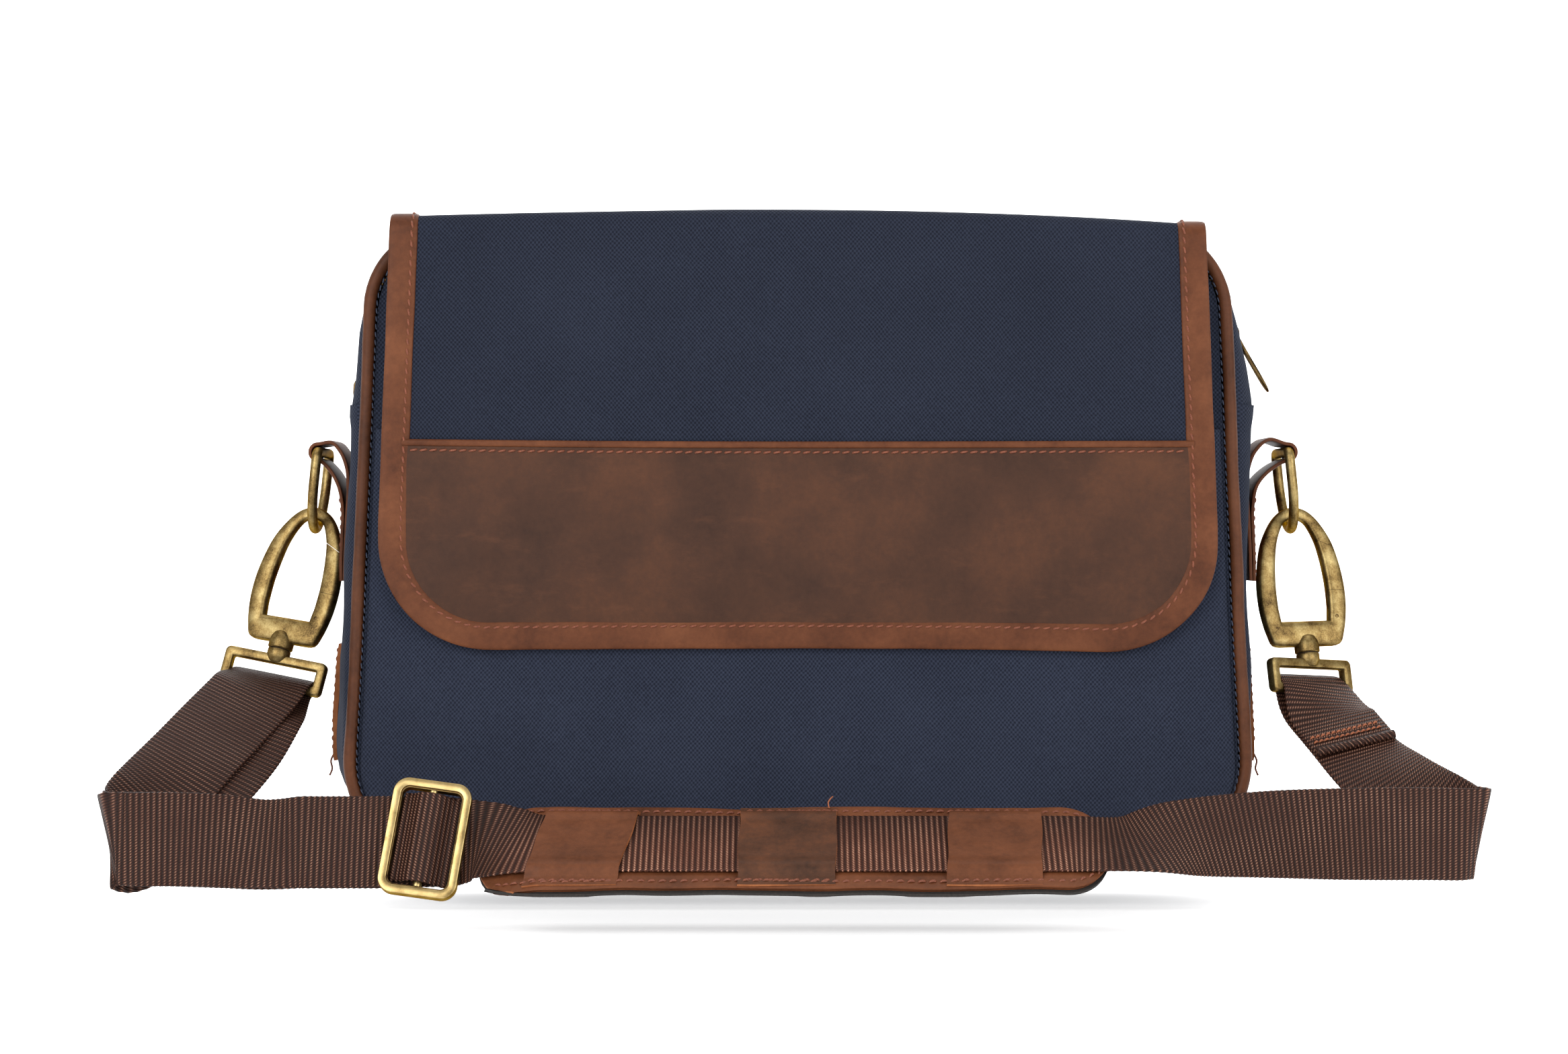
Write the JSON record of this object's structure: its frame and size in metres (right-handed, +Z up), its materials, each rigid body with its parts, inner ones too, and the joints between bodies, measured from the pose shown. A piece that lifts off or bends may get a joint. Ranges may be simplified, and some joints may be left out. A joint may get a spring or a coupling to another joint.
{
  "type": "messenger bag",
  "caption": "Soft canvas messenger bag with a leather trimmed flap, a zipped main compartment and a webbing shoulder strap on snap hooks.",
  "frame": {"origin": "on the ground under the middle of the bag's body", "axes": "+Z up, +X to the right when looking at the flap, the flap and front face -Y"},
  "size_m": [0.5729, 0.2268, 0.2875],
  "materials": {
    "canvas_navy": "woven cotton canvas, matt",
    "leather_tan": "smooth vegetable tanned leather, satin",
    "leather_dark": "waxed pull-up leather, satin",
    "cotton_lining": "plain cotton, matt",
    "foam_padding": "cloth covered foam, matt",
    "pad_felt": "felt, matt",
    "board": "plain",
    "webbing_brown": "ribbed woven webbing",
    "brass_antique": "antiqued, mottled",
    "brass_satin": "satin",
    "zip_tape": "woven tape, matt",
    "zip_brass": "satin",
    "spring_steel": "satin",
    "magnet_steel": "satin"
  },
  "bodies": {
    "bag": {"front_panel": "canvas_navy", "back_panel": "canvas_navy", "gusset_lower": "canvas_navy", "gusset_top_front": "canvas_navy", "gusset_top_rear": "canvas_navy", "zip_tape_front": "zip_tape", "zip_tape_rear": "zip_tape", "zip_chain_front": "zip_brass", "zip_chain_rear": "zip_brass", "piping_front": "leather_tan", "piping_rear": "leather_tan", "front_pocket": "canvas_navy", "lining": "cotton_lining", "divider": "foam_padding", "base_board": "board", "chape_left": "leather_tan", "chape_right": "leather_tan", "side_strip_left": "leather_tan", "side_strip_right": "leather_tan", "magnet_sockets": "magnet_steel", "flap_back_strip": "leather_tan"},
    "flap_top": {"flap_canvas_top": "canvas_navy", "flap_lining_top": "cotton_lining", "flap_binding_top": "leather_tan"},
    "flap_front": {"flap_canvas": "canvas_navy", "flap_leather_panel": "leather_dark", "flap_panel_trim": "leather_tan", "flap_lining": "cotton_lining", "flap_binding": "leather_tan", "magnet_studs": "magnet_steel"},
    "d_ring_left": {"d_ring_left": "brass_antique"},
    "d_ring_right": {"d_ring_right": "brass_antique"},
    "strap": {"webbing_right": "webbing_brown", "webbing_right_tab": "webbing_brown", "webbing_left_outer": "webbing_brown", "webbing_left_inner": "webbing_brown", "strap_loop_left": "brass_antique", "strap_loop_right": "brass_antique", "swivel_post_left": "brass_antique", "swivel_post_right": "brass_antique"},
    "hook_left": {"hook_frame_left": "brass_antique", "gate_pin_left": "brass_antique", "gate_spring_left": "spring_steel"},
    "hook_right": {"hook_frame_right": "brass_antique", "gate_pin_right": "brass_antique", "gate_spring_right": "spring_steel"},
    "gate_left": {"hook_gate_left": "brass_antique"},
    "gate_right": {"hook_gate_right": "brass_antique"},
    "adjuster": {"adjuster_frame": "brass_satin", "adjuster_bar": "brass_satin", "webbing_hump": "webbing_brown"},
    "pad": {"pad_leather": "leather_tan", "pad_backing": "pad_felt", "pad_loop_left": "leather_tan", "pad_loop_middle": "leather_tan", "pad_loop_right": "leather_tan"},
    "slider_left": {"slider_left": "brass_antique"},
    "slider_right": {"slider_right": "brass_antique"},
    "pull_left": {"pull_left": "leather_tan"},
    "pull_right": {"pull_right": "leather_tan"}
  },
  "joints": [
    {"name": "flap_open", "type": "hinge", "parent": "bag", "child": "flap_top", "pos_m": [0, 0.0538, 0.281], "axis": [-1, 0, 0], "range_deg": [0, 180]},
    {"name": "flap_fold", "type": "hinge", "parent": "flap_top", "child": "flap_front", "pos_m": [0, -0.0604, 0.281], "axis": [-1, 0, 0], "range_deg": [0, 180]},
    {"name": "strap_lift", "type": "hinge", "parent": "bag", "child": "strap", "pos_m": [0, 0, 0.1662], "axis": [-1, 0, 0], "range_deg": [0, 22]},
    {"name": "adjuster_slide", "type": "slide", "parent": "strap", "child": "adjuster", "axis": [-1, 0, 0], "range_m": [0, 0.025]},
    {"name": "pad_slide", "type": "slide", "parent": "strap", "child": "pad", "axis": [1, 0, 0], "range_m": [0, 0.012]},
    {"name": "ring_swing_left", "type": "hinge", "parent": "bag", "child": "d_ring_left", "pos_m": [-0.21115, 0, 0.17901], "axis": [0, 1, 0], "range_deg": [-1, 3]},
    {"name": "hook_swivel_left", "type": "hinge", "parent": "strap", "child": "hook_left", "pos_m": [-0.21368, -0.00359, 0.15181], "axis": [0.2249, 0.2357, 0.9454], "range_deg": [-2, 24]},
    {"name": "gate_left", "type": "hinge", "parent": "hook_left", "child": "gate_left", "pos_m": [-0.21097, -0.01964, 0.10482], "axis": [-0.2849, -0.912, 0.2952], "range_deg": [0, 20], "stiffness_Nm_per_rad": 0.03, "springref_deg": -17.19},
    {"name": "zip_left", "type": "slide", "parent": "bag", "child": "slider_left", "axis": [0.0392, 0, 0.9992], "range_m": [0, 0.027]},
    {"name": "pull_left", "type": "hinge", "parent": "slider_left", "child": "pull_left", "pos_m": [-0.19647, 0, 0.20713], "axis": [0, 1, 0], "range_deg": [0, 150]},
    {"name": "ring_swing_right", "type": "hinge", "parent": "bag", "child": "d_ring_right", "pos_m": [0.21595, 0, 0.17901], "axis": [0, 1, 0], "range_deg": [-3, 0.5]},
    {"name": "hook_swivel_right", "type": "hinge", "parent": "strap", "child": "hook_right", "pos_m": [0.21979, -0.00304, 0.15189], "axis": [-0.0785, 0.2073, 0.9751], "range_deg": [-32, 1]},
    {"name": "gate_right", "type": "hinge", "parent": "hook_right", "child": "gate_right", "pos_m": [0.23746, -0.00927, 0.10582], "axis": [0.2412, -0.9451, 0.2203], "range_deg": [0, 20], "stiffness_Nm_per_rad": 0.03, "springref_deg": -17.19},
    {"name": "zip_right", "type": "slide", "parent": "bag", "child": "slider_right", "axis": [-0.0392, 0, 0.9992], "range_m": [-0.013, 0.003]},
    {"name": "pull_right", "type": "hinge", "parent": "slider_right", "child": "pull_right", "pos_m": [0.19552, 0, 0.23113], "axis": [0, -1, 0], "range_deg": [-25, 100]}
  ]
}
